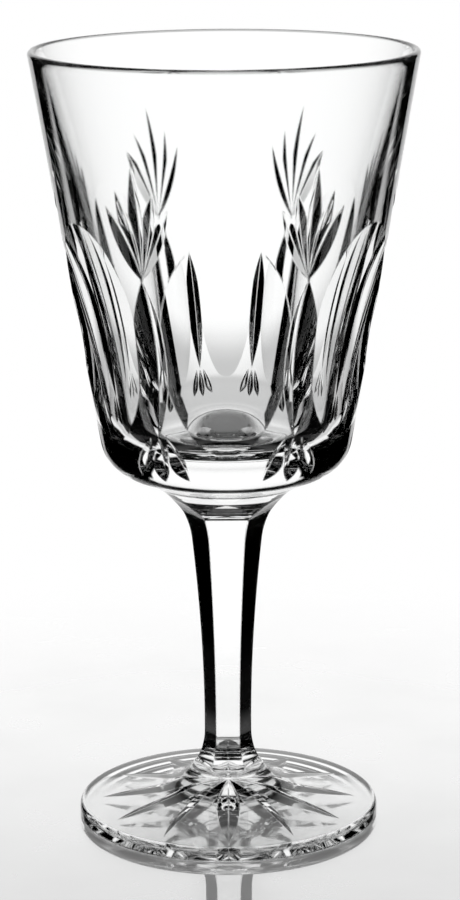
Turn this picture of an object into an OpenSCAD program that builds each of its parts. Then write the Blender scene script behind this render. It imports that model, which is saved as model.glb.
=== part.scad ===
// Cut crystal water goblet: a tapering bowl, a six-sided stem and a round foot, fused end to end.
// Millimetres, +Z up. The origin is the middle of the foot's underside, on the table.
// An azimuth of zero faces -Y, the front of the goblet, and grows towards +X.

/* [Bowl] */
// Height of the bowl from the seam with the stem to the rim
bowl_h = 97.5; // [70:0.5:130]
// Outer radius of the rim
rim_r = 43.55; // [30:0.05:55]
// Taper of the wall's outside from the vertical, in degrees
wall_deg = 9.66; // [0:0.1:15]
// Radius of the turn from the wall into the underside
corner_r = 9.7; // [4:0.1:14]
// Thickness of the wall at the rim
rim_t = 1.7; // [1:0.1:4]

/* [Bowl cavity] */
// Taper of the wall's inside from the vertical, in degrees
cavity_deg = 15; // [2:0.1:18]
// Height of the cavity's floor above the seam with the stem
floor_h = 8.7; // [5:0.1:20]
// Radius of the turn from the floor into the wall
floor_round_r = 10; // [6:0.5:20]

/* [Hollow panels] */
// How many panels, columns and fans go round the bowl
repeat_n = 6; // [4:1:8]
// Radius of the flat-faced wheel that grinds a panel
panel_wheel_r = 104.2; // [70:0.1:150]
// Distance of a panel's deepest line from the axis
panel_r = 28.7; // [26:0.1:34]
// Height of a panel's deepest line above the seam with the stem
panel_h = 19.8; // [14:0.1:34]

/* [Fans] */
// Height above the seam of the point that a fan springs from
fan_h = 51.3; // [40:0.1:60]
// Length of a fan's middle leaf
mid_leaf_l = 25.5; // [15:0.1:35]
// Length of the two leaves beside it
side_leaf_l = 20.6; // [12:0.1:30]
// Length of the two outermost leaves
outer_leaf_l = 18.6; // [10:0.1:28]
// Lean of the side leaves, in degrees
side_leaf_deg = 13; // [8:0.5:20]
// Lean of the outermost leaves, in degrees
outer_leaf_deg = 25.5; // [18:0.5:40]
// Depth of a leaf at its deepest
leaf_depth = 1.15; // [0.4:0.05:1.6]
// How far the leaves run on past the point that they spring from
fan_lap = 1.2; // [0.5:0.1:3]

/* [Upright olives] */
// Length of the long cut below each fan
olive_l = 36.6; // [20:0.1:45]
// Depth of that cut at its deepest
olive_depth = 2.9; // [1:0.1:3.5]

/* [Trefoils] */
// Length of each of the three small cuts below an olive
trefoil_l = 10.6; // [6:0.1:16]
// Depth of each small cut below the straight line between its ends
trefoil_depth = 0.7; // [0.3:0.05:1.5]
// Tilt of that line from the vertical, round the bowl's lower turn, in degrees
trefoil_tilt_deg = 15.6; // [10:0.1:30]
// Lean of the two outer small cuts, in degrees
trefoil_deg = 23; // [15:1:50]

/* [Mitre wheels] */
// Half the angle of the V that a mitre wheel leaves, in degrees
mitre_deg = 57; // [40:1:70]

/* [Stem] */
// Height of the stem from the seam with the foot to the seam with the bowl
stem_h = 69; // [40:0.5:90]
// Radius of the stem where it meets the bowl
stem_top_r = 18.7; // [14:0.1:24]
// Slope of the stem's top and of the bowl's underside from the level, in degrees
underside_deg = 23.6; // [10:0.1:40]
// Radius of the hollow sweep below the bowl
top_sweep_r = 17.8; // [10:0.1:25]
// Taper of the stem below that sweep, in degrees
stem_deg = 6.3; // [2:0.1:10]
// Radius of the stem's blank at the waist
waist_r = 5.55; // [4:0.05:9]
// Height of the waist above the seam with the foot
waist_h = 11; // [9:0.5:30]
// How far the ridges lie inside the round blank
ridge_step = 0.15; // [0.05:0.05:0.5]

/* [Stem flats] */
// Sides of the stem
side_n = 6; // [4:2:8]
// Angle along the sweep below the bowl at which a flat starts to run out, in degrees
leave_deg = 27; // [20:1:50]
// Height over which a flat turns outwards at its top
run_top_l = 2.2; // [0.5:0.1:4]
// Distance from the axis at which a flat runs out at its top
run_top_r = 15; // [10:0.1:20]
// How far below the seam with the bowl a flat runs out
run_top_h = 2.4; // [1:0.1:6]
// Angle along the sweep into the foot at which a flat starts to run out, in degrees
foot_leave_deg = 29; // [5:1:35]
// Distance from the axis at which a flat runs out at its foot
run_foot_r = 8.7; // [7:0.1:12]
// How far above the seam with the foot a flat runs out
run_foot_h = 0.5; // [0.3:0.1:3]
// Height over which a flat turns outwards at its foot
run_foot_l = 1.1; // [0.5:0.1:4]

/* [Foot] */
// Radius of the foot
foot_r = 34.6; // [25:0.1:45]
// Height of the foot at its edge, before the edge is rounded
foot_edge_h = 3.2; // [2.5:0.1:6]
// Slope of the foot's top from the level, in degrees
foot_deg = 8; // [2:0.5:20]
// Height of the seam between foot and stem
foot_h = 11; // [9:0.1:18]
// Radius of the hollow sweep from the foot's top into the stem
foot_sweep_r = 14.2; // [8:0.1:20]
// Radius of the round on the foot's upper edge
foot_top_round_r = 1.5; // [0.5:0.1:2]
// Radius of the round on the foot's lower edge
foot_low_round_r = 0.5; // [0.3:0.1:1.5]
// Width of the ring that the foot stands on
ring_w = 0.9; // [0.5:0.1:6]
// Slope of the hollow inside that ring from the level, in degrees
hollow_deg = 10.5; // [1:0.5:11]

/* [Star] */
// How many rays the star in the hollow has
star_n = 12; // [6:1:20]
// Radius at which the rays start
star_start_r = 0.5; // [0.3:0.1:3]
// Radius that the rays reach
star_r = 29; // [15:0.1:31]
// Depth of a ray at its deepest
star_depth = 1.6; // [0.6:0.1:1.9]

/* [Hidden] */
$fn = 128;
arc_steps = 12;
round_steps = 6;
overrun = 2;
glass_tint = [0.90, 0.94, 0.95, 0.6];
stem_z = foot_h;
bowl_z = foot_h + stem_h;
rim_z = bowl_z + bowl_h;

// Points of an arc round the middle (cx, cz), from angle a0 to angle a1.
function arc_points(cx, cz, r, a0, a1, n) =
    [for (i = [0:n]) let (a = a0 + (a1 - a0) * i / n) [cx + r * cos(a), cz + r * sin(a)]];

// Points of a smooth curve from a to c that leaves and arrives along the lines through b.
function curve_points(a, b, c, n) =
    [for (i = [0:n]) let (t = i / n, u = 1 - t) a * u * u + b * 2 * u * t + c * t * t];

// Radius of a wheel whose cut is l long and d deep in a flat surface.
function cut_wheel_r(l, d) = (l * l / 4 + d * d) / (2 * d);

// Radius of the bowl's outside at height z, above the corner.
function wall_r(z) = rim_r - (rim_z - z) * tan(wall_deg);

wall_low_r = wall_r(bowl_z);

// The corner's middle lies one corner radius inside the wall and above the underside.
corner_x = (wall_low_r - corner_r / cos(wall_deg)
    + tan(wall_deg) * (corner_r / cos(underside_deg) - stem_top_r * tan(underside_deg)))
    / (1 - tan(wall_deg) * tan(underside_deg));
corner_z = bowl_z + (corner_x - stem_top_r) * tan(underside_deg) + corner_r / cos(underside_deg);

// The rim is a full round that both sides of the wall run into.
lip_r = rim_t / (1 / cos(wall_deg) + 1 / cos(cavity_deg) + tan(wall_deg) - tan(cavity_deg));
lip_x = wall_r(rim_z - lip_r) - lip_r / cos(wall_deg);

// Radius of the cavity's wall at height z, above the round at the floor.
function cavity_r(z) = rim_r - rim_t - (rim_z - z) * tan(cavity_deg);
floor_z = bowl_z + floor_h;
floor_round_z = floor_z + floor_round_r;
floor_round_x = cavity_r(floor_round_z) - floor_round_r / cos(cavity_deg);

bowl_outline = concat(
    [[0, bowl_z], [stem_top_r, bowl_z]],
    arc_points(corner_x, corner_z, corner_r, underside_deg - 90, -wall_deg, arc_steps),
    arc_points(lip_x, rim_z - lip_r, lip_r, -wall_deg, 180 - cavity_deg, arc_steps),
    arc_points(floor_round_x, floor_round_z, floor_round_r, -cavity_deg, -90, arc_steps),
    [[0, floor_z]]);

// Heights and azimuths of the cut pattern.
fan_z = bowl_z + fan_h;
olive_foot_z = fan_z - olive_l * cos(wall_deg);
repeat_deg = 360 / repeat_n;
panel_w_share = 0.95;

// Length and lean of each leaf of a fan, and the number of the last step of the grinding.
leaves = [
    [mid_leaf_l, 0],
    [side_leaf_l, -side_leaf_deg],
    [side_leaf_l, side_leaf_deg],
    [outer_leaf_l, -outer_leaf_deg],
    [outer_leaf_l, outer_leaf_deg]];
last_step = 4 + len(leaves);

// The sweep below the bowl touches the underside's slope at the seam.
top_sweep_x = stem_top_r + top_sweep_r * sin(underside_deg);
top_sweep_z = bowl_z - top_sweep_r * cos(underside_deg);
taper_r = top_sweep_x - top_sweep_r * cos(stem_deg);
taper_z = top_sweep_z + top_sweep_r * sin(stem_deg);
waist_z = stem_z + waist_h;

// Height of the foot's sloping top at radius r.
function foot_top_z(r) = foot_edge_h + (foot_r - r) * tan(foot_deg);
foot_sweep_x = waist_r + foot_sweep_r;
foot_sweep_z = foot_top_z(foot_sweep_x) + foot_sweep_r / cos(foot_deg);
seam_deg = 180 + asin((foot_sweep_z - stem_z) / foot_sweep_r);
hollow_r = foot_r - foot_low_round_r - ring_w;

taper_curve = curve_points(
    [waist_r, waist_z],
    [waist_r, taper_z - (taper_r - waist_r) / tan(stem_deg)],
    [taper_r, taper_z], arc_steps);

stem_outline = concat(
    [[0, stem_z]],
    arc_points(foot_sweep_x, foot_sweep_z, foot_sweep_r, seam_deg, 180, round_steps),
    taper_curve,
    arc_points(top_sweep_x, top_sweep_z, top_sweep_r, 180 - stem_deg, 90 + underside_deg, arc_steps),
    [[0, bowl_z]]);

// A flat's distance from the axis is that of the ridges beside it times flat_share.
flat_share = cos(180 / side_n);
run_foot_z = stem_z + run_foot_h;
run_top_z = bowl_z - run_top_h;
ground_curve = [for (p = concat(
        arc_points(foot_sweep_x, foot_sweep_z, foot_sweep_r, 180 + foot_leave_deg, 180, round_steps),
        taper_curve,
        arc_points(top_sweep_x, top_sweep_z, top_sweep_r, 180 - stem_deg, 180 - leave_deg, round_steps)))
    [(p.x - ridge_step) * flat_share, p.y]];
foot_leave_point = ground_curve[0];
leave_point = ground_curve[len(ground_curve) - 1];
side_r = stem_top_r + overrun;
flat_outline = concat(
    [[side_r, stem_z - overrun], [side_r, run_foot_z]],
    curve_points([run_foot_r, run_foot_z],
        foot_leave_point + run_foot_l * [tan(foot_leave_deg) * flat_share, -1],
        foot_leave_point, round_steps),
    ground_curve,
    curve_points(leave_point, leave_point + run_top_l * [tan(leave_deg) * flat_share, 1],
        [run_top_r, run_top_z], round_steps),
    [[side_r, run_top_z], [side_r, bowl_z + overrun]]);

foot_outline = concat(
    [[0, hollow_r * tan(hollow_deg)], [hollow_r, 0]],
    arc_points(foot_r - foot_low_round_r, foot_low_round_r, foot_low_round_r, -90, 0, round_steps),
    arc_points(foot_r - foot_top_round_r,
        foot_top_z(foot_r - foot_top_round_r) - foot_top_round_r / cos(foot_deg),
        foot_top_round_r, 0, 90 - foot_deg, round_steps),
    arc_points(foot_sweep_x, foot_sweep_z, foot_sweep_r, 270 - foot_deg, seam_deg, arc_steps),
    [[0, foot_h]]);

// The rim of a wheel that grinds a cut l long and d deep along Z into a surface that faces +X.
// The outline is that of the rim, drawn at the wheel's own radius.
module wheel_rim(wheel_r, d, l, outline) {
    sweep_deg = 2 * asin((l / 2 + overrun) / wheel_r);
    translate([wheel_r - d, 0, 0])
        rotate([90, 0, 0])
            rotate([0, 0, 180 - sweep_deg / 2])
                rotate_extrude(angle = sweep_deg)
                    polygon(outline);
}

module mitre_cut(l, d) {
    wheel_r = cut_wheel_r(l, d);
    edge_r = wheel_r - d - overrun;
    half_w = (d + overrun) * tan(mitre_deg);
    wheel_rim(wheel_r, d, l, [[edge_r, -half_w], [wheel_r, 0], [edge_r, half_w]]);
}

// Puts +X along the outward normal of a surface at azimuth az, radius r, height z and tilt.
module on_surface(az, r, z, tilt) {
    rotate([0, 0, az - 90])
        translate([r, 0, z])
            rotate([0, tilt, 0])
                children();
}

// One leaf of a fan, l long, that leans by lean from the upright at azimuth az.
module leaf(az, l, lean) {
    mid_l = (l - fan_lap) / 2;
    mid_z = fan_z + mid_l * cos(lean) * cos(wall_deg);
    turn = mid_l * sin(lean) / wall_r(mid_z) * 180 / PI;
    on_surface(az + turn, wall_r(mid_z), mid_z, wall_deg)
        rotate([-lean, 0, 0])
            mitre_cut(l + fan_lap, leaf_depth);
}

// The long upright cut between a fan and its trefoil.
module olive(az) {
    mid_z = (fan_z + olive_foot_z) / 2;
    on_surface(az, wall_r(mid_z), mid_z, wall_deg)
        mitre_cut(olive_l, olive_depth);
}

// One of the three small cuts that spread downwards from an olive's foot.
module trefoil(az, lean) {
    turn = trefoil_l / 2 * sin(lean) / wall_r(olive_foot_z) * 180 / PI;
    on_surface(az + turn, wall_r(olive_foot_z), olive_foot_z, trefoil_tilt_deg)
        rotate([lean, 0, 0])
            translate([0, 0, -trefoil_l / 2])
                mitre_cut(trefoil_l, trefoil_depth);
}

// A panel is flat from side to side and as hollow as its wheel from top to foot.
module panel(az) {
    half_w = panel_r * tan(repeat_deg / 2) * panel_w_share;
    edge_r = panel_wheel_r - 3 * overrun;
    rotate([0, 0, az - 90])
        translate([panel_r, 0, bowl_z + panel_h])
            wheel_rim(panel_wheel_r, 0, 2 * (bowl_h - panel_h),
                [[edge_r, -half_w], [panel_wheel_r, -half_w], [panel_wheel_r, half_w], [edge_r, half_w]]);
}

// The cut that one step of the grinding makes at azimuth az; panels lie between the columns.
module cut(step, az) {
    if (step == 0)
        panel(az + repeat_deg / 2);
    else if (step == 1)
        olive(az);
    else if (step < 5)
        trefoil(az, (step - 3) * trefoil_deg);
    else
        leaf(az, leaves[step - 5][0], leaves[step - 5][1]);
}

// Each step grinds its cut all the way round the bowl that the step before it has left.
module ground_bowl(step) {
    if (step < 0)
        rotate_extrude() polygon(bowl_outline);
    else
        difference() {
            ground_bowl(step - 1);
            for (i = [0:repeat_n - 1])
                cut(step, (i + 0.5) * repeat_deg);
        }
}

module bowl() color(glass_tint) ground_bowl(last_step);

module stem() color(glass_tint)
    intersection() {
        rotate_extrude() polygon(stem_outline);
        intersection_for (i = [0:side_n / 2 - 1])
            rotate([0, 0, 90 + i * 360 / side_n])
                rotate([90, 0, 0])
                    linear_extrude(height = 2 * side_r, center = true)
                        polygon(concat(flat_outline,
                            [for (i = [len(flat_outline) - 1:-1:0]) [-flat_outline[i].x, flat_outline[i].y]]));
    }

// One ray of the star, along the hollow under the foot.
module ray(az) {
    mid_r = (star_start_r + star_r) / 2;
    on_surface(az, mid_r, (hollow_r - mid_r) * tan(hollow_deg), 90 + hollow_deg)
        mitre_cut((star_r - star_start_r) / cos(hollow_deg), star_depth);
}

// Each step grinds one ray into the foot that the step before it has left.
module ground_foot(step) {
    if (step < 0)
        rotate_extrude() polygon(foot_outline);
    else
        difference() {
            ground_foot(step - 1);
            ray(step * 360 / star_n);
        }
}

module foot() color(glass_tint) ground_foot(star_n - 1);

bowl();
stem();
foot();
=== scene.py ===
"""Cut crystal water goblet: bowl, stem and foot in clear crystal on a pale glossy table."""
import math
from functools import partial

import bpy
from mathutils import Matrix, Vector


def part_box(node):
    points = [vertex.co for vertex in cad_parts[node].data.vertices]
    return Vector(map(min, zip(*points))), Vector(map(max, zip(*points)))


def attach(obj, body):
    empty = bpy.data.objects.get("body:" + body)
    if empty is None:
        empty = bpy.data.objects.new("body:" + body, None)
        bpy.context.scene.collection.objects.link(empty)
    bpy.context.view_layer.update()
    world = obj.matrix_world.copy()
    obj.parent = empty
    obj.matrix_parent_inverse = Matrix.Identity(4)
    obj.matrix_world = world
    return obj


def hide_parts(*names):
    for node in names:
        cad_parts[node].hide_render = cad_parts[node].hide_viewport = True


bl_info = {
    "name": "Cut Crystal Goblet",
    "version": (1, 0, 0),
    "blender": (4, 5, 0),
    "location": "View3D > Sidebar > Goblet",
    "description": "Builds a water goblet in cut crystal, with its table, light and camera",
    "category": "Object",
}

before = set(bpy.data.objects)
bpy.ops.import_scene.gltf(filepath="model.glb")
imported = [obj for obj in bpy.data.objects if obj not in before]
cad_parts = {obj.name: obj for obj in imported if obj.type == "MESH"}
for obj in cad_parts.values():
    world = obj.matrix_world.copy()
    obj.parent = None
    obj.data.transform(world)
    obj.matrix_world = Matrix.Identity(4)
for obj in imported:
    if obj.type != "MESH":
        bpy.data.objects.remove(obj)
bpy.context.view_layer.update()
bowl_low, bowl_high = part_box("bowl")
foot_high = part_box("foot")[1]

MM = 0.001
RIGHT = math.pi / 2

# Corners of a mesh that are nearer than MERGE become one, and points of an outline that are nearer than
# REPEAT_GAP are taken as one. A face lies in a seam if it is nearer than SEAM_GAP to the seam's level.
MERGE = 1e-6
REPEAT_GAP = 2 * MERGE
SEAM_GAP = 10 * MERGE

# How far a tool reaches past what it cuts, and how deep the panel wheel's rim is modelled.
OVERRUN = 2 * MM
PANEL_RIM = 3 * OVERRUN

# Steps of the lathe round the axis.
LATHE_STEPS = 256
STEM_LATHE_STEPS = 192

# Steps along each stretch of an outline.
WALL_STEPS = 60
FLOOR_STEPS = 6
CORNER_STEPS = 24
LIP_STEPS = 20
CAVITY_ROUND_STEPS = 32
SWEEP_STEPS = 40
SHORT_SWEEP_STEPS = 24
RUN_OUT_STEPS = 12
HOLLOW_STEPS = 24
FOOT_TOP_STEPS = 12
FOOT_ROUND_STEPS = 14
FOOT_EDGE_STEPS = 2

# Steps of a wheel through its cut.
PANEL_STEPS = 240
OLIVE_STEPS = 40
LEAF_STEPS = 28
SMALL_CUT_STEPS = 16
RAY_STEPS = 32

# Scale and detail of the noise in the fire polish's waves, in its haze and in the table's smudges.
WAVE_NOISE = (60, 1)
HAZE_NOISE = (220, 4)
SMUDGE_NOISE = (35, 5)

# Between which tones of a smudge the table's two roughnesses change. The sheen's changes between two
# shares of its roughness, and the mirror's between two roughnesses.
SHEEN_SMUDGE = (0.35, 0.7)
SHEEN_SHARES = (0.9, 1.15)
MIRROR_SMUDGE = (0.4, 0.65)
MIRROR_ROUGH = (0.01, 0.03)

TABLE_CORNERS = 96
ROOM_SEGMENTS = 96
ROOM_RINGS = 48

# The camera's sensor along the picture's longer side in millimetres, and how near and how far the
# camera sees in metres.
SENSOR = 36
CLIP_START = 0.05
CLIP_END = 50

# How often light may bounce through glass and off gloss.
GLASS_BOUNCES = 32
GLOSS_BOUNCES = 16

length = partial(bpy.props.FloatProperty, subtype="DISTANCE", unit="LENGTH", precision=5)
angle = partial(bpy.props.FloatProperty, subtype="ANGLE", unit="ROTATION")
number = partial(bpy.props.FloatProperty, precision=4)
whole = bpy.props.IntProperty
tint = partial(bpy.props.FloatVectorProperty, subtype="COLOR", size=4, min=0.0, max=1.0)


def degrees(value):
    """An angle that is given in degrees."""
    return math.radians(value)


# Faces that meet at less than this are shaded as one surface.
SMOOTH_ANGLE = degrees(9)


class GobletBowlSizes(bpy.types.PropertyGroup):
    """Sizes of the bowl and of the cuts on it."""
    rim_r: length(name="Rim radius", description="Outside radius at the rim", default=43.55 * MM)
    wall: angle(name="Wall taper", description="Outside taper from the vertical", default=degrees(9.66))
    corner_r: length(name="Lower turn", description="Radius from wall to underside", default=9.7 * MM)
    rim_t: length(name="Rim thickness", description="Wall thickness at the rim", default=1.7 * MM)
    cavity: angle(name="Cavity taper", description="Inside taper from the vertical", default=degrees(15))
    floor_h: length(name="Floor height", description="Cavity floor above the seam", default=8.7 * MM)
    floor_round_r: length(name="Floor round", description="Radius from floor to wall", default=10 * MM)
    repeat_n: whole(name="Repeats", description="Panels and fans round the bowl", default=6)
    panel_wheel_r: length(name="Panel wheel", description="Radius of the panel wheel",
                          default=104.2 * MM)
    panel_r: length(name="Panel distance", description="Deepest line from the axis", default=28.7 * MM)
    panel_share: number(name="Panel share", description="Share of a side that is ground", default=0.95)
    panel_h: length(name="Panel height", description="Deepest line above the seam", default=19.8 * MM)
    fan_h: length(name="Fan height", description="Where a fan springs from", default=51.3 * MM)
    fan_lap: length(name="Fan lap", description="How far leaves run past that", default=1.2 * MM)
    mid_leaf_l: length(name="Middle leaf", description="Length of the middle leaf", default=25.5 * MM)
    side_leaf_l: length(name="Side leaf", description="Length of a side leaf", default=20.6 * MM)
    outer_leaf_l: length(name="Outer leaf", description="Length of an outer leaf", default=18.6 * MM)
    side_leaf: angle(name="Side leaf lean", description="Lean of a side leaf", default=degrees(13))
    outer_leaf: angle(name="Outer leaf lean", description="Lean of an outer leaf", default=degrees(25.5))
    leaf_depth: length(name="Leaf depth", description="Depth of a leaf", default=1.15 * MM)
    olive_l: length(name="Olive length", description="Length of the upright cut", default=36.6 * MM)
    olive_depth: length(name="Olive depth", description="Depth of the upright cut", default=2.9 * MM)
    trefoil_l: length(name="Trefoil length", description="Length of a small cut", default=10.6 * MM)
    trefoil_depth: length(name="Trefoil depth", description="Depth below its chord", default=0.7 * MM)
    trefoil_tilt: angle(name="Trefoil tilt", description="Tilt round the lower turn",
                        default=degrees(15.6))
    trefoil: angle(name="Trefoil spread", description="Lean of the outer small cuts",
                   default=degrees(23))
    mitre: angle(name="Mitre angle", description="Half the angle of the V cuts", default=degrees(57))


class GobletStemSizes(bpy.types.PropertyGroup):
    """Sizes of the stem and its flats."""
    top_r: length(name="Top radius", description="Radius at the seam with the bowl", default=18.7 * MM)
    underside: angle(name="Underside slope", description="Slope of the bowl's underside",
                     default=degrees(23.6))
    top_sweep_r: length(name="Upper sweep", description="Hollow sweep below the bowl",
                        default=17.8 * MM)
    taper: angle(name="Taper", description="Taper below the upper sweep", default=degrees(6.3))
    waist_r: length(name="Waist radius", description="Radius of the blank at the waist",
                    default=5.55 * MM)
    waist_h: length(name="Waist height", description="Waist above the foot's seam", default=11 * MM)
    ridge_step: length(name="Ridge step", description="Ridges inside the blank", default=0.15 * MM)
    side_n: whole(name="Sides", description="Flats round the stem", default=6)
    leave: angle(name="Leaving angle", description="Where a flat leaves the upper sweep",
                 default=degrees(27))
    run_top_l: length(name="Upper turn", description="Height of a flat's upper turn", default=2.2 * MM)
    run_top_r: length(name="Upper run-out", description="Where a flat ends, from the axis",
                      default=15 * MM)
    run_top_h: length(name="Upper end", description="A flat's end below the seam", default=2.4 * MM)
    foot_leave: angle(name="Lower leaving angle", description="Where a flat leaves the foot's sweep",
                      default=degrees(29))
    run_foot_r: length(name="Lower run-out", description="Where a flat ends, from the axis",
                       default=8.7 * MM)
    run_foot_h: length(name="Lower end", description="A flat's end above the foot's seam",
                       default=0.5 * MM)
    run_foot_l: length(name="Lower turn", description="Height of a flat's lower turn",
                       default=1.1 * MM)


class GobletFootSizes(bpy.types.PropertyGroup):
    """Sizes of the foot and the star under it."""
    foot_r: length(name="Foot radius", description="Radius of the foot", default=34.6 * MM)
    edge_h: length(name="Edge height", description="Height at the edge", default=3.2 * MM)
    slope: angle(name="Top slope", description="Slope of the foot's top", default=degrees(8))
    sweep_r: length(name="Sweep", description="Hollow sweep into the stem", default=14.2 * MM)
    top_round_r: length(name="Upper round", description="Round on the upper edge", default=1.5 * MM)
    low_round_r: length(name="Lower round", description="Round on the lower edge", default=0.5 * MM)
    ring_w: length(name="Ring width", description="Ring that the foot stands on", default=0.9 * MM)
    hollow: angle(name="Hollow slope", description="Slope of the hollow in that ring",
                  default=degrees(10.5))
    star_n: whole(name="Rays", description="Rays of the star", default=12)
    star_r: length(name="Star radius", description="Reach of the rays", default=29 * MM)
    star_gap_r: length(name="Star middle", description="Where the rays start", default=0.5 * MM)
    star_depth: length(name="Star depth", description="Depth of a ray", default=1.6 * MM)


class GobletCrystalLook(bpy.types.PropertyGroup):
    """Look of the crystal."""
    crystal: tint(name="Crystal", description="Tint of the crystal", default=(0.997, 1, 0.999, 1))
    ior: number(name="Refraction", description="Index of refraction", default=1.52)
    gleam: tint(name="Gleam", description="Strength of head-on reflections", default=(0.2, 0.2, 0.2, 1))
    haze: number(name="Haze", description="Roughness of the polish where it is haziest", default=0.0)
    wave_h: length(name="Wave", description="Height of the fire polish's waves", default=0.01 * MM)
    polish_r: length(name="Edge polish", description="Radius that polishing gives to cut edges",
                     default=0.5 * MM)


class GobletStageSizes(bpy.types.PropertyGroup):
    """The table, the light round it and the camera."""
    cam_side: length(name="Camera side", description="Camera to the right", default=0.82 * MM)
    cam_back: length(name="Camera distance", description="Camera in front of the axis",
                     default=665.4 * MM)
    cam_h: length(name="Camera height", description="Camera above the table", default=248.1 * MM)
    cam_pitch: angle(name="Pitch", description="Camera's look down", default=degrees(13.661))
    cam_roll: angle(name="Roll", description="Camera's roll", default=degrees(-0.324))
    cam_lens: number(name="Lens", description="Focal length in millimetres", default=120.42)
    table_r: length(name="Table", description="Radius at which the table has faded out",
                    default=200 * MM)
    fade_r: length(name="Fade", description="Radius at which the table starts to fade", default=60 * MM)
    # The sheen's tint grades from a paler back to a darker front: painted shade, darker towards the
    # camera.
    sheen: tint(name="Far sheen", description="Tint of the table's sheen at its back",
                default=(0.81, 0.81, 0.81, 1))
    shaded_near_sheen: tint(name="Near sheen", description="Tint of the table's sheen at its front",
                     default=(0.46, 0.46, 0.46, 1))
    sheen_y: length(name="Back", description="How far back the table is at its palest", default=70 * MM)
    near_y: length(name="Front", description="How far to the front it is at its darkest",
                   default=90 * MM)
    sheen_rough: number(name="Sheen roughness", description="Roughness of that sheen", default=0.3)
    mirror: number(name="Mirror", description="Share of clear reflection in the table", default=0.45)
    # Painted light: a share of the table's sheen glows to the camera, so that the goblet can't shade it.
    painted_glow: number(name="Glow", description="Share of the sheen that the goblet can't shade", default=0.5)
    glow_tone: number(name="Glow tone", description="Brightness of that share", default=0.9)
    # Painted light: a faint ring that the table glows with round the foot, seen only through glass.
    pool: number(name="Pool", description="Light of the table that the stem's sides catch",
                 default=0.065)
    pool_r: length(name="Pool radius", description="Where that light is half gone", default=66 * MM)
    pool_soft: length(name="Pool edge", description="Half the width of its soft edge", default=12 * MM)
    pool_gap: length(name="Pool gap", description="Dark ring between the foot and that light",
                     default=12 * MM)
    room_r: length(name="Room", description="Radius of the dark room round the scene", default=9.0)
    window: angle(name="Window", description="Half the width of the window behind the goblet",
                  default=degrees(27))
    window_soft: angle(name="Window edge", description="Half the width of its soft sides",
                       default=degrees(0.5))
    window_top: angle(name="Window top", description="Where the window starts to fade upwards",
                      default=degrees(35))
    window_end: angle(name="Window end", description="Where the window has faded out",
                      default=degrees(50))
    window_tone: number(name="Window tone", description="Brightness of the window", default=1.05)
    low: angle(name="Window foot", description="Where the window starts to dim downwards",
               default=degrees(-16))
    low_end: angle(name="Window foot end", description="Where it is dimmest", default=degrees(-26.5))
    low_tone: number(name="Foot tone", description="Share of its light that is left there", default=0.57)


def point(x, z):
    """A point of an outline, which lies in the XZ plane."""
    return Vector((x, 0, z))


def arc(cx, cz, r, a0, a1, steps):
    """Points of an arc."""
    turns = [a0 + (a1 - a0) * i / steps for i in range(steps + 1)]
    return [point(cx + r * math.cos(a), cz + r * math.sin(a)) for a in turns]


def curve(a, b, c, steps):
    """Points of a smooth curve from a to c that leaves and arrives along the lines through b."""
    shares = [i / steps for i in range(steps + 1)]
    return [a * (1 - t) ** 2 + b * (2 * t * (1 - t)) + c * t * t for t in shares]


def evenly(a, b, steps):
    """Points of the straight line from a to b."""
    return [a.lerp(b, i / steps) for i in range(steps + 1)]


def without_repeats(points):
    """The points without those that repeat the one before."""
    kept = [points[0]]
    for p in points[1:]:
        if (p - kept[-1]).length > REPEAT_GAP:
            kept.append(p)
    return kept


def select_only(*objects):
    """Selects these objects alone and makes the first one active."""
    bpy.ops.object.select_all(action="DESELECT")
    for o in objects:
        o.select_set(True)
    bpy.context.view_layer.objects.active = objects[0]


def draw_line(name, points):
    """Starts a mesh as a single corner and extrudes it along the points; leaves it in edit mode."""
    bpy.ops.object.select_all(action="DESELECT")
    bpy.ops.mesh.primitive_plane_add(size=MM)
    piece = bpy.context.active_object
    piece.name = name
    bpy.ops.object.mode_set(mode="EDIT")
    bpy.ops.mesh.select_mode(type="VERT")
    bpy.ops.mesh.select_all(action="SELECT")
    bpy.ops.mesh.merge(type="CENTER")
    bpy.ops.transform.translate(value=points[0])
    for a, b in zip(points, points[1:]):
        bpy.ops.mesh.extrude_region_move(TRANSFORM_OT_translate={"value": b - a})
    bpy.ops.mesh.select_all(action="SELECT")
    return piece


def draw_face(name, points):
    """A flat face inside the points; leaves it in edit mode."""
    piece = draw_line(name, points + points[:1])
    bpy.ops.mesh.remove_doubles(threshold=MERGE)
    bpy.ops.mesh.edge_face_add()
    bpy.ops.mesh.select_all(action="SELECT")
    return piece


def close_mesh():
    """Merges what meets, turns every face outwards and leaves edit mode."""
    bpy.ops.mesh.select_all(action="SELECT")
    bpy.ops.mesh.remove_doubles(threshold=MERGE)
    bpy.ops.mesh.normals_make_consistent(inside=False)
    bpy.ops.object.mode_set(mode="OBJECT")


def lathe(name, points, steps):
    """Turns an outline round the goblet's axis."""
    piece = draw_line(name, without_repeats(points))
    bpy.ops.mesh.spin(steps=steps, angle=math.tau, center=(0, 0, 0), axis=(0, 0, 1))
    close_mesh()
    return piece


def place(piece, matrix):
    """Moves a piece and writes its place into its mesh."""
    select_only(piece)
    piece.matrix_world = matrix
    bpy.ops.object.transform_apply(location=True, rotation=True, scale=True)


def ring(tool, count):
    """Copies a tool round the goblet's axis and joins the copies."""
    tools = [tool]
    for i in range(1, count):
        select_only(tool)
        bpy.ops.object.duplicate()
        copy = bpy.context.active_object
        place(copy, Matrix.Rotation(math.tau * i / count, 4, "Z"))
        tools.append(copy)
    select_only(*tools)
    bpy.ops.object.join()
    return tool


def combine(piece, tool, operation="DIFFERENCE"):
    """Cuts a tool out of a piece, or keeps what they share, and removes the tool."""
    select_only(piece)
    bpy.ops.object.modifier_add(type="BOOLEAN")
    cut = piece.modifiers[-1]
    cut.operation = operation
    cut.solver = "MANIFOLD"
    cut.object = tool
    bpy.ops.object.modifier_apply(modifier=cut.name)
    bpy.data.objects.remove(tool)


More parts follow.
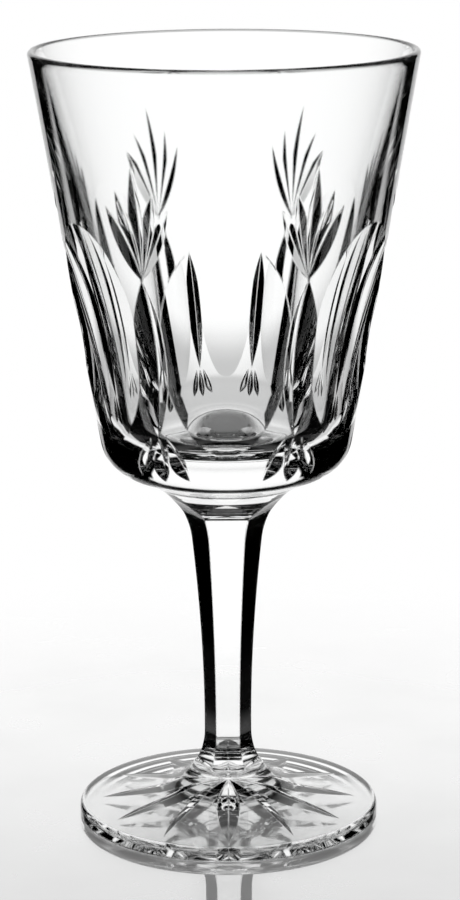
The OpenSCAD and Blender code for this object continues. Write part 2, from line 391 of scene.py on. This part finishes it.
def wheel_rim(name, wheel_r, depth, cut_l, outline, steps):
    """The rim of a wheel that grinds along Z into a surface that faces +X, depth below it."""
    sweep = 2 * math.asin((cut_l / 2 + OVERRUN) / wheel_r)
    centre = Vector((wheel_r - depth, 0, 0))
    start = Matrix.Rotation(sweep / 2, 3, "Y")
    points = [centre + start @ Vector((-r, w, 0)) for r, w in outline]
    tool = draw_face(name, points)
    bpy.ops.mesh.spin(steps=steps, angle=sweep, center=centre, axis=(0, 1, 0))
    close_mesh()
    return tool


def mitre_cut(name, cut_l, depth, half_angle, steps):
    """The rim of a V-edged wheel that leaves a pointed cut of this length and depth."""
    wheel_r = (cut_l * cut_l / 4 + depth * depth) / (2 * depth)
    edge_r = wheel_r - depth - OVERRUN
    half_w = (depth + OVERRUN) * math.tan(half_angle)
    outline = [(edge_r, -half_w), (wheel_r, 0), (edge_r, half_w)]
    return wheel_rim(name, wheel_r, depth, cut_l, outline, steps)


def on_surface(turn, r, z, tilt, lean=0.0, slide=0.0):
    """A tool's place where its +X points out of a turned surface, leaning sideways and slid along."""
    front = Matrix.Rotation(turn - RIGHT, 4, "Z")
    place_at = Matrix.Translation((r, 0, z))
    return (front @ place_at @ Matrix.Rotation(tilt, 4, "Y") @ Matrix.Rotation(lean, 4, "X")
            @ Matrix.Translation((0, 0, slide)))


def wire(tree, value, socket):
    """Sets a socket to a number, or links it to another node's output."""
    if isinstance(value, (int, float)):
        socket.default_value = value
    else:
        tree.links.new(value, socket)


def compute(tree, operation, *values):
    """Output of a math node."""
    node = tree.nodes.new("ShaderNodeMath")
    node.operation = operation
    for value, socket in zip(values, node.inputs):
        wire(tree, value, socket)
    return node.outputs["Value"]


def fade(tree, value, start, end, low=1.0, high=0.0):
    """Output that goes smoothly from low at the start to high at the end."""
    node = tree.nodes.new("ShaderNodeMapRange")
    node.interpolation_type = "SMOOTHSTEP"
    for name, given in (("Value", value), ("From Min", start), ("From Max", end), ("To Min", low),
                        ("To Max", high)):
        wire(tree, given, node.inputs[name])
    return node.outputs["Result"]


def vector_math(tree, operation, vector):
    """A vector math node that works on a vector."""
    node = tree.nodes.new("ShaderNodeVectorMath")
    node.operation = operation
    tree.links.new(vector, node.inputs[0])
    return node


def axes(tree, vector):
    """X, Y and Z outputs of a vector."""
    node = tree.nodes.new("ShaderNodeSeparateXYZ")
    tree.links.new(vector, node.inputs["Vector"])
    return node.outputs


def noise(tree, where, scale, detail):
    """Output of a noise texture."""
    node = tree.nodes.new("ShaderNodeTexNoise")
    node.inputs["Scale"].default_value = scale
    node.inputs["Detail"].default_value = detail
    tree.links.new(where, node.inputs["Vector"])
    return node.outputs["Fac"]


def object_place(tree):
    """Output with the place on the object, in metres."""
    return tree.nodes.new("ShaderNodeTexCoord").outputs["Object"]


def new_material(name):
    """A material with nothing in it but its Principled shader and output."""
    made = bpy.data.materials.new(name)
    made.use_nodes = True
    return made, made.node_tree.nodes["Principled BSDF"]


def polish_group():
    """Polish shared by all three pieces: rounded cut edges, faint waves and a trace of haze."""
    name = "fire polish"
    if name in bpy.data.node_groups:
        return bpy.data.node_groups[name]
    group = bpy.data.node_groups.new(name, "ShaderNodeTree")
    for socket, kind in (("Tint", "Color"), ("Haze", "Float"), ("Wave", "Float"), ("Edge", "Float")):
        group.interface.new_socket(socket, in_out="INPUT", socket_type="NodeSocket" + kind)
    for socket, kind in (("Tint", "Color"), ("Haze", "Float"), ("Normal", "Vector")):
        group.interface.new_socket(socket, in_out="OUTPUT", socket_type="NodeSocket" + kind)
    given = group.nodes.new("NodeGroupInput")
    result = group.nodes.new("NodeGroupOutput")
    where = object_place(group)

    edges = group.nodes.new("ShaderNodeBevel")
    group.links.new(given.outputs["Edge"], edges.inputs["Radius"])
    bump = group.nodes.new("ShaderNodeBump")
    bump.inputs["Strength"].default_value = 1
    group.links.new(noise(group, where, *WAVE_NOISE), bump.inputs["Height"])
    group.links.new(given.outputs["Wave"], bump.inputs["Distance"])
    group.links.new(edges.outputs["Normal"], bump.inputs["Normal"])

    haze = compute(group, "MULTIPLY", noise(group, where, *HAZE_NOISE), given.outputs["Haze"])
    group.links.new(given.outputs["Tint"], result.inputs["Tint"])
    group.links.new(haze, result.inputs["Haze"])
    group.links.new(bump.outputs["Normal"], result.inputs["Normal"])
    return group


def crystal_material(node):
    """Clear crystal with its fire polish."""
    look = bpy.context.scene.goblet_crystal
    made, shader = new_material(node + " crystal")
    polish = made.node_tree.nodes.new("ShaderNodeGroup")
    polish.node_tree = polish_group()
    for socket, value in (("Tint", look.crystal), ("Haze", look.haze), ("Wave", look.wave_h),
                          ("Edge", look.polish_r)):
        polish.inputs[socket].default_value = value
    for output, socket in (("Tint", "Base Color"), ("Haze", "Roughness"), ("Normal", "Normal")):
        made.node_tree.links.new(polish.outputs[output], shader.inputs[socket])
    shader.inputs["IOR"].default_value = look.ior
    shader.inputs["Specular Tint"].default_value = look.gleam
    shader.inputs["Transmission Weight"].default_value = 1.0
    return made


def seam_material():
    """Where two pieces are fused there is no surface: light goes straight through."""
    name = "fused seam"
    if name in bpy.data.materials:
        return bpy.data.materials[name]
    made, shader = new_material(name)
    shader.inputs["Alpha"].default_value = 0.0
    return made


def finish_piece(piece, node, seams):
    """Smooths a piece, gives it crystal and clear seams, and lets it stand for its CAD node."""
    select_only(piece)
    piece.name = "crystal_" + node
    bpy.ops.object.shade_smooth_by_angle(angle=SMOOTH_ANGLE, keep_sharp_edges=False)
    piece.data.materials.clear()
    piece.data.materials.append(crystal_material(node))
    piece.data.materials.append(seam_material())
    for face in piece.data.polygons:
        level = abs(face.normal.z) > 1 - MERGE
        at_seam = any(abs(face.center.z - z) < SEAM_GAP for z in seams)
        face.material_index = 1 if level and at_seam else 0
    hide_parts(node)
    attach(piece, "root")


def wall_r(s, z):
    """Outside radius of the bowl's wall at a height."""
    return s.rim_r - (bowl_high.z - z) * math.tan(s.wall)


def cavity_r(s, z):
    """Radius of the cavity's wall at a height."""
    return s.rim_r - s.rim_t - (bowl_high.z - z) * math.tan(s.cavity)


def bowl_outline(s, stem):
    """From the middle of the seam, up the wall, over the rim and down to the middle of the floor."""
    tan, cos = math.tan, math.cos
    low_z, rim_z = bowl_low.z, bowl_high.z
    corner_x = (wall_r(s, low_z) - s.corner_r / cos(s.wall) + tan(s.wall)
                * (s.corner_r / cos(stem.underside) - stem.top_r * tan(stem.underside)))
    corner_x /= 1 - tan(s.wall) * tan(stem.underside)
    corner_z = (low_z + (corner_x - stem.top_r) * tan(stem.underside)
                + s.corner_r / cos(stem.underside))
    lip_r = s.rim_t / (1 / cos(s.wall) + 1 / cos(s.cavity) + tan(s.wall) - tan(s.cavity))
    lip_x = wall_r(s, rim_z - lip_r) - lip_r / cos(s.wall)
    floor_z = low_z + s.floor_h
    round_z = floor_z + s.floor_round_r
    round_x = cavity_r(s, round_z) - s.floor_round_r / cos(s.cavity)
    corner = arc(corner_x, corner_z, s.corner_r, stem.underside - RIGHT, -s.wall, CORNER_STEPS)
    lip = arc(lip_x, rim_z - lip_r, lip_r, -s.wall, math.pi - s.cavity, LIP_STEPS)
    hollow = arc(round_x, round_z, s.floor_round_r, -s.cavity, -RIGHT, CAVITY_ROUND_STEPS)
    return ([point(0, low_z)]
            + evenly(point(stem.top_r, low_z), corner[0], FLOOR_STEPS) + corner
            + evenly(corner[-1], lip[0], WALL_STEPS) + lip
            + evenly(lip[-1], hollow[0], WALL_STEPS) + hollow
            + evenly(hollow[-1], point(0, floor_z), FLOOR_STEPS))


def grind_panels(bowl, s, turn):
    """Hollow panels, each ground by a broad flat wheel at the middle of its side."""
    half_w = s.panel_r * math.tan(turn / 2) * s.panel_share
    wheel_r = s.panel_wheel_r
    edge_r = wheel_r - PANEL_RIM
    outline = [(edge_r, -half_w), (wheel_r, -half_w), (wheel_r, half_w), (edge_r, half_w)]
    cut_l = 2 * (bowl_high.z - bowl_low.z - s.panel_h)
    panel = wheel_rim("panel", wheel_r, 0, cut_l, outline, PANEL_STEPS)
    place(panel, on_surface(0, s.panel_r, bowl_low.z + s.panel_h, 0))
    combine(bowl, ring(panel, s.repeat_n))


def cut_column(bowl, s, turn, fan_z, olive_z):
    """Upright olives between the panels, and the three small cuts of a trefoil below each."""
    olive = mitre_cut("olive", s.olive_l, s.olive_depth, s.mitre, OLIVE_STEPS)
    mid_z = (fan_z + olive_z) / 2
    place(olive, on_surface(turn / 2, wall_r(s, mid_z), mid_z, s.wall))
    combine(bowl, ring(olive, s.repeat_n))
    low_r = wall_r(s, olive_z)
    for side in (-1, 0, 1):
        small = mitre_cut("small cut", s.trefoil_l, s.trefoil_depth, s.mitre, SMALL_CUT_STEPS)
        lean = side * s.trefoil
        shift = s.trefoil_l / 2 * math.sin(lean) / low_r
        place(small, on_surface(turn / 2 + shift, low_r, olive_z, s.trefoil_tilt, lean,
                                -s.trefoil_l / 2))
        combine(bowl, ring(small, s.repeat_n))


def cut_fans(bowl, s, turn, fan_z):
    """Fans of five leaves that spring from the olives' tops."""
    leaves = [(s.mid_leaf_l, 0), (s.side_leaf_l, -s.side_leaf), (s.side_leaf_l, s.side_leaf),
              (s.outer_leaf_l, -s.outer_leaf), (s.outer_leaf_l, s.outer_leaf)]
    for leaf_l, lean in leaves:
        leaf = mitre_cut("leaf", leaf_l + s.fan_lap, s.leaf_depth, s.mitre, LEAF_STEPS)
        mid_l = (leaf_l - s.fan_lap) / 2
        mid_z = fan_z + mid_l * math.cos(lean) * math.cos(s.wall)
        shift = mid_l * math.sin(lean) / wall_r(s, mid_z)
        place(leaf, on_surface(turn / 2 + shift, wall_r(s, mid_z), mid_z, s.wall, -lean))
        combine(bowl, ring(leaf, s.repeat_n))


class GOBLET_OT_bowl(bpy.types.Operator):
    """Turns the bowl and grinds its panels, fans, olives and trefoils"""
    bl_idname = "goblet.bowl"
    bl_label = "Bowl"

    def execute(self, context):
        s = context.scene.goblet_bowl
        bowl = lathe("bowl", bowl_outline(s, context.scene.goblet_stem), LATHE_STEPS)
        turn = math.tau / s.repeat_n
        fan_z = bowl_low.z + s.fan_h
        olive_z = fan_z - s.olive_l * math.cos(s.wall)
        grind_panels(bowl, s, turn)
        cut_column(bowl, s, turn, fan_z, olive_z)
        cut_fans(bowl, s, turn, fan_z)
        finish_piece(bowl, "bowl", [bowl_low.z])
        return {"FINISHED"}


def foot_sweep(stem, foot):
    """Middle of the sweep from the foot into the stem, and its angle at their seam."""
    x = stem.waist_r + foot.sweep_r
    z = foot.edge_h + (foot.foot_r - x) * math.tan(foot.slope) + foot.sweep_r / math.cos(foot.slope)
    return x, z, math.pi + math.asin((z - foot_high.z) / foot.sweep_r)


def stem_side(s, foot, low_turn, high_turn, high_steps):
    """The side from an angle on the sweep into the foot to an angle on the sweep below the bowl."""
    sweep_x = s.top_r + s.top_sweep_r * math.sin(s.underside)
    sweep_z = bowl_low.z - s.top_sweep_r * math.cos(s.underside)
    taper_r = sweep_x - s.top_sweep_r * math.cos(s.taper)
    taper_z = sweep_z + s.top_sweep_r * math.sin(s.taper)
    taper = curve(point(s.waist_r, foot_high.z + s.waist_h),
                  point(s.waist_r, taper_z - (taper_r - s.waist_r) / math.tan(s.taper)),
                  point(taper_r, taper_z), SWEEP_STEPS)
    foot_x, foot_z, _ = foot_sweep(s, foot)
    return (arc(foot_x, foot_z, foot.sweep_r, low_turn, math.pi, SHORT_SWEEP_STEPS) + taper
            + arc(sweep_x, sweep_z, s.top_sweep_r, math.pi - s.taper, high_turn, high_steps))


def flats_edge(s, foot, side_r):
    """Edge of the space between two opposite flats, on one side of the axis, from the foot up."""
    share = math.cos(math.pi / s.side_n)
    low_z, top_z = foot_high.z, bowl_low.z
    run_foot_z, run_top_z = low_z + s.run_foot_h, top_z - s.run_top_h
    side = stem_side(s, foot, math.pi + s.foot_leave, math.pi - s.leave, SHORT_SWEEP_STEPS)
    ground = [point((p.x - s.ridge_step) * share, p.z) for p in side]
    foot_lead = point(math.tan(s.foot_leave) * share, -1) * s.run_foot_l
    top_lead = point(math.tan(s.leave) * share, 1) * s.run_top_l
    return without_repeats(
        [point(side_r, low_z - OVERRUN), point(side_r, run_foot_z)]
        + curve(point(s.run_foot_r, run_foot_z), ground[0] + foot_lead, ground[0], RUN_OUT_STEPS)
        + ground
        + curve(ground[-1], ground[-1] + top_lead, point(s.run_top_r, run_top_z), RUN_OUT_STEPS)
        + [point(side_r, run_top_z), point(side_r, top_z + OVERRUN)])


def grind_flats(stem, s, foot):
    """Grinds the flats two by two: what lies between two opposite flats is kept."""
    side_r = s.top_r + OVERRUN
    edge = flats_edge(s, foot, side_r)
    mirrored = [point(-p.x, p.z) for p in reversed(edge)]
    for i in range(s.side_n // 2):
        flats = draw_face("flats", [p + Vector((0, -side_r, 0)) for p in edge + mirrored])
        bpy.ops.mesh.extrude_region_move(TRANSFORM_OT_translate={"value": (0, 2 * side_r, 0)})
        close_mesh()
        place(flats, Matrix.Rotation(RIGHT + math.tau * i / s.side_n, 4, "Z"))
        combine(stem, flats, "INTERSECT")


class GOBLET_OT_stem(bpy.types.Operator):
    """Turns the stem and grinds its flats"""
    bl_idname = "goblet.stem"
    bl_label = "Stem"

    def execute(self, context):
        s = context.scene.goblet_stem
        foot = context.scene.goblet_foot
        low_z, top_z = foot_high.z, bowl_low.z
        seam = foot_sweep(s, foot)[2]
        side = stem_side(s, foot, seam, RIGHT + s.underside, SWEEP_STEPS)
        stem = lathe("stem", [point(0, low_z)] + side + [point(0, top_z)], STEM_LATHE_STEPS)
        grind_flats(stem, s, foot)
        finish_piece(stem, "stem", [low_z, top_z])
        return {"FINISHED"}


def hollow_r(s):
    """Radius at which the hollow under the foot starts."""
    return s.foot_r - s.low_round_r - s.ring_w


def foot_outline(s, stem):
    """From the middle of the hollow, out to the edge and over the foot's top to the middle of the seam."""
    x, z, seam = foot_sweep(stem, s)
    top_x = s.foot_r - s.top_round_r
    top_z = s.edge_h + s.top_round_r * math.tan(s.slope) - s.top_round_r / math.cos(s.slope)
    low_x = s.foot_r - s.low_round_r
    low = arc(low_x, s.low_round_r, s.low_round_r, -RIGHT, 0, FOOT_ROUND_STEPS)
    top = arc(top_x, top_z, s.top_round_r, 0, RIGHT - s.slope, FOOT_ROUND_STEPS)
    sweep = arc(x, z, s.sweep_r, 3 * RIGHT - s.slope, seam, SWEEP_STEPS)
    start_r = hollow_r(s)
    start = point(start_r, 0)
    return (evenly(point(0, start_r * math.tan(s.hollow)), start, HOLLOW_STEPS)
            + evenly(start, low[0], FOOT_EDGE_STEPS) + low
            + evenly(low[-1], top[0], FOOT_EDGE_STEPS) + top
            + evenly(top[-1], sweep[0], FOOT_TOP_STEPS) + sweep + [point(0, foot_high.z)])


def cut_star(foot, s, mitre):
    """Rays from the middle of the hollow under the foot."""
    ray_l = (s.star_r - s.star_gap_r) / math.cos(s.hollow)
    mid_r = (s.star_r + s.star_gap_r) / 2
    mid_z = (hollow_r(s) - mid_r) * math.tan(s.hollow)
    for i in range(s.star_n):
        ray = mitre_cut("ray", ray_l, s.star_depth, mitre, RAY_STEPS)
        place(ray, on_surface(math.tau * i / s.star_n, mid_r, mid_z, RIGHT + s.hollow))
        combine(foot, ray)


class GOBLET_OT_foot(bpy.types.Operator):
    """Turns the foot and cuts the star under it"""
    bl_idname = "goblet.foot"
    bl_label = "Foot"

    def execute(self, context):
        s = context.scene.goblet_foot
        foot = lathe("foot", foot_outline(s, context.scene.goblet_stem), LATHE_STEPS)
        cut_star(foot, s, context.scene.goblet_bowl.mitre)
        finish_piece(foot, "foot", [foot_high.z])
        return {"FINISHED"}


def set_world(scene):
    """Plain white for the camera; glass and gloss see the room instead."""
    world = bpy.data.worlds.new("studio")
    world.use_nodes = True
    scene.world = world
    world.node_tree.nodes["Background"].inputs["Color"].default_value = (1, 1, 1, 1)
    world.node_tree.nodes["Background"].inputs["Strength"].default_value = 1.0


def set_camera(s):
    """The camera, in front of the goblet and looking down at it."""
    ahead = Vector((0, math.cos(s.cam_pitch), -math.sin(s.cam_pitch)))
    up = Vector((0, math.sin(s.cam_pitch), math.cos(s.cam_pitch)))
    side = Vector((1, 0, 0))
    right = side * math.cos(s.cam_roll) + up * math.sin(s.cam_roll)
    top = up * math.cos(s.cam_roll) - side * math.sin(s.cam_roll)
    turn = Matrix((right, top, -ahead)).transposed()
    bpy.ops.object.camera_add()
    camera = bpy.context.active_object
    camera.matrix_world = Matrix.Translation((s.cam_side, -s.cam_back, s.cam_h)) @ turn.to_4x4()
    camera.data.lens = s.cam_lens
    camera.data.sensor_width = SENSOR
    camera.data.clip_start = CLIP_START
    camera.data.clip_end = CLIP_END
    bpy.context.scene.camera = camera
    return camera


def table_material(s):
    """Pale acrylic: part clear mirror, part soft sheen, that fades into the white beyond."""
    made, sheen = new_material("acrylic table")
    tree = made.node_tree
    links = tree.links
    where = object_place(tree)
    reach = vector_math(tree, "LENGTH", where).outputs["Value"]
    smudge = noise(tree, where, *SMUDGE_NOISE)
    light = tree.nodes.new("ShaderNodeLightPath")

    # Painted shade: the sheen's tint grades from the near tint at the front to the far one at the back,
    # darker towards the front.
    shade_grade = tree.nodes.new("ShaderNodeValToRGB")
    shade_grade.color_ramp.elements[0].color = s.shaded_near_sheen
    shade_grade.color_ramp.elements[1].color = s.sheen
    depth = axes(tree, where)["Y"]
    links.new(fade(tree, depth, -s.near_y, s.sheen_y, 0.0, 1.0), shade_grade.inputs["Fac"])

    # To the camera, a share of the sheen glows by itself as painted light, so that the goblet can't shade
    # it.
    painted_glow = compute(tree, "MULTIPLY", light.outputs["Is Camera Ray"], s.painted_glow)
    shaded = vector_math(tree, "SCALE", shade_grade.outputs["Color"])
    links.new(compute(tree, "SUBTRACT", 1.0, painted_glow), shaded.inputs["Scale"])
    links.new(shaded.outputs["Vector"], sheen.inputs["Base Color"])

    # Painted light: through glass, the table glows in a faint ring round the foot.
    pool = compute(tree, "MULTIPLY",
                   fade(tree, reach, s.pool_r - s.pool_soft, s.pool_r + s.pool_soft),
                   fade(tree, reach, foot_high.x, foot_high.x + s.pool_gap, 0.0, 1.0))
    pool = compute(tree, "MULTIPLY", pool, s.pool / (1 - s.mirror))
    pool = compute(tree, "MULTIPLY", pool, light.outputs["Is Transmission Ray"])
    links.new(compute(tree, "ADD", compute(tree, "MULTIPLY", painted_glow, s.glow_tone), pool),
              sheen.inputs["Emission Strength"])
    links.new(shade_grade.outputs["Color"], sheen.inputs["Emission Color"])

    mirror = tree.nodes.new("ShaderNodeBsdfPrincipled")
    mirror.inputs["Base Color"].default_value = (1, 1, 1, 1)
    low_rough, high_rough = (s.sheen_rough * share for share in SHEEN_SHARES)
    links.new(fade(tree, smudge, *SHEEN_SMUDGE, low_rough, high_rough), sheen.inputs["Roughness"])
    links.new(fade(tree, smudge, *MIRROR_SMUDGE, *MIRROR_ROUGH), mirror.inputs["Roughness"])
    visible = fade(tree, reach, s.fade_r, s.table_r)
    for shader in (sheen, mirror):
        shader.inputs["Metallic"].default_value = 1.0
        links.new(visible, shader.inputs["Alpha"])
    mix = tree.nodes.new("ShaderNodeMixShader")
    mix.inputs["Fac"].default_value = s.mirror
    links.new(sheen.outputs["BSDF"], mix.inputs[1])
    links.new(mirror.outputs["BSDF"], mix.inputs[2])
    links.new(mix.outputs["Shader"], tree.nodes["Material Output"].inputs["Surface"])
    return made


def set_table(s):
    """The round sheet that the goblet stands on."""
    bpy.ops.object.select_all(action="DESELECT")
    bpy.ops.mesh.primitive_circle_add(vertices=TABLE_CORNERS, radius=s.table_r, fill_type="NGON")
    table = bpy.context.active_object
    table.name = "table"
    table.data.materials.append(table_material(s))


def room_material(s):
    """Black, with a white window ahead that fades out at its top and dims at its foot."""
    made, shader = new_material("dark room")
    tree = made.node_tree
    ahead = axes(tree, vector_math(tree, "NORMALIZE", object_place(tree)).outputs["Vector"])
    turn = compute(tree, "ABSOLUTE", compute(tree, "ARCTAN2", ahead["X"], ahead["Y"]))
    rise = compute(tree, "ARCSINE", ahead["Z"])
    window = compute(tree, "MULTIPLY",
                     fade(tree, turn, s.window - s.window_soft, s.window + s.window_soft),
                     fade(tree, rise, s.window_top, s.window_end))
    window = compute(tree, "MULTIPLY", window, fade(tree, rise, s.low_end, s.low, s.low_tone, 1.0))
    shade = tree.nodes.new("ShaderNodeCombineColor")
    for name in ("Red", "Green", "Blue"):
        tree.links.new(window, shade.inputs[name])
    shader.inputs["Base Color"].default_value = (0, 0, 0, 1)
    shader.inputs["Specular IOR Level"].default_value = 0.0
    shader.inputs["Emission Strength"].default_value = s.window_tone
    tree.links.new(shade.outputs["Color"], shader.inputs["Emission Color"])
    return made


def set_room(s, camera):
    """What glass and gloss see round the scene. It turns with the camera."""
    bpy.ops.object.select_all(action="DESELECT")
    bpy.ops.mesh.primitive_uv_sphere_add(segments=ROOM_SEGMENTS, ring_count=ROOM_RINGS, radius=s.room_r)
    room = bpy.context.active_object
    room.name = "room"
    room.data.materials.append(room_material(s))
    room.visible_camera = False
    room.visible_diffuse = False
    room.visible_shadow = False
    room.parent = camera
    room.matrix_parent_inverse = camera.matrix_world.inverted()


class GOBLET_OT_stage(bpy.types.Operator):
    """Sets the table, the light round it and the camera"""
    bl_idname = "goblet.stage"
    bl_label = "Table, light and camera"

    def execute(self, context):
        s = context.scene.goblet_stage
        scene = context.scene
        set_world(scene)
        camera = set_camera(s)
        set_table(s)
        set_room(s, camera)
        scene.view_settings.view_transform = "Standard"
        scene.cycles.max_bounces = GLASS_BOUNCES
        scene.cycles.transmission_bounces = GLASS_BOUNCES
        scene.cycles.glossy_bounces = GLOSS_BOUNCES
        scene.cycles.transparent_max_bounces = GLASS_BOUNCES
        return {"FINISHED"}


class GOBLET_PT_panel(bpy.types.Panel):
    """Lists the goblet's sizes and looks, with the operators that build from them"""
    bl_label = "Goblet"
    bl_idname = "GOBLET_PT_panel"
    bl_space_type = "VIEW_3D"
    bl_region_type = "UI"
    bl_category = "Goblet"

    def draw(self, context):
        for group, _, operator in GROUPS:
            box = self.layout.box()
            if operator:
                box.operator(operator)
            sizes = getattr(context.scene, group)
            for name in sizes.bl_rna.properties.keys():
                if name not in {"name", "rna_type"}:
                    box.prop(sizes, name)


# Each group, with the operator that builds from it. The crystal's look is used by all three pieces.
GROUPS = (
    ("goblet_bowl", GobletBowlSizes, "goblet.bowl"),
    ("goblet_stem", GobletStemSizes, "goblet.stem"),
    ("goblet_foot", GobletFootSizes, "goblet.foot"),
    ("goblet_crystal", GobletCrystalLook, None),
    ("goblet_stage", GobletStageSizes, "goblet.stage"),
)
CLASSES = (GOBLET_OT_bowl, GOBLET_OT_stem, GOBLET_OT_foot, GOBLET_OT_stage, GOBLET_PT_panel)


def register():
    for name, group, _ in GROUPS:
        bpy.utils.register_class(group)
        setattr(bpy.types.Scene, name, bpy.props.PointerProperty(type=group))
    for made in CLASSES:
        bpy.utils.register_class(made)


def unregister():
    for made in reversed(CLASSES):
        bpy.utils.unregister_class(made)
    for name, group, _ in GROUPS:
        delattr(bpy.types.Scene, name)
        bpy.utils.unregister_class(group)


def main():
    register()
    bpy.ops.goblet.stage()
    bpy.ops.goblet.bowl()
    bpy.ops.goblet.stem()
    bpy.ops.goblet.foot()


if __name__ == "__main__":
    main()
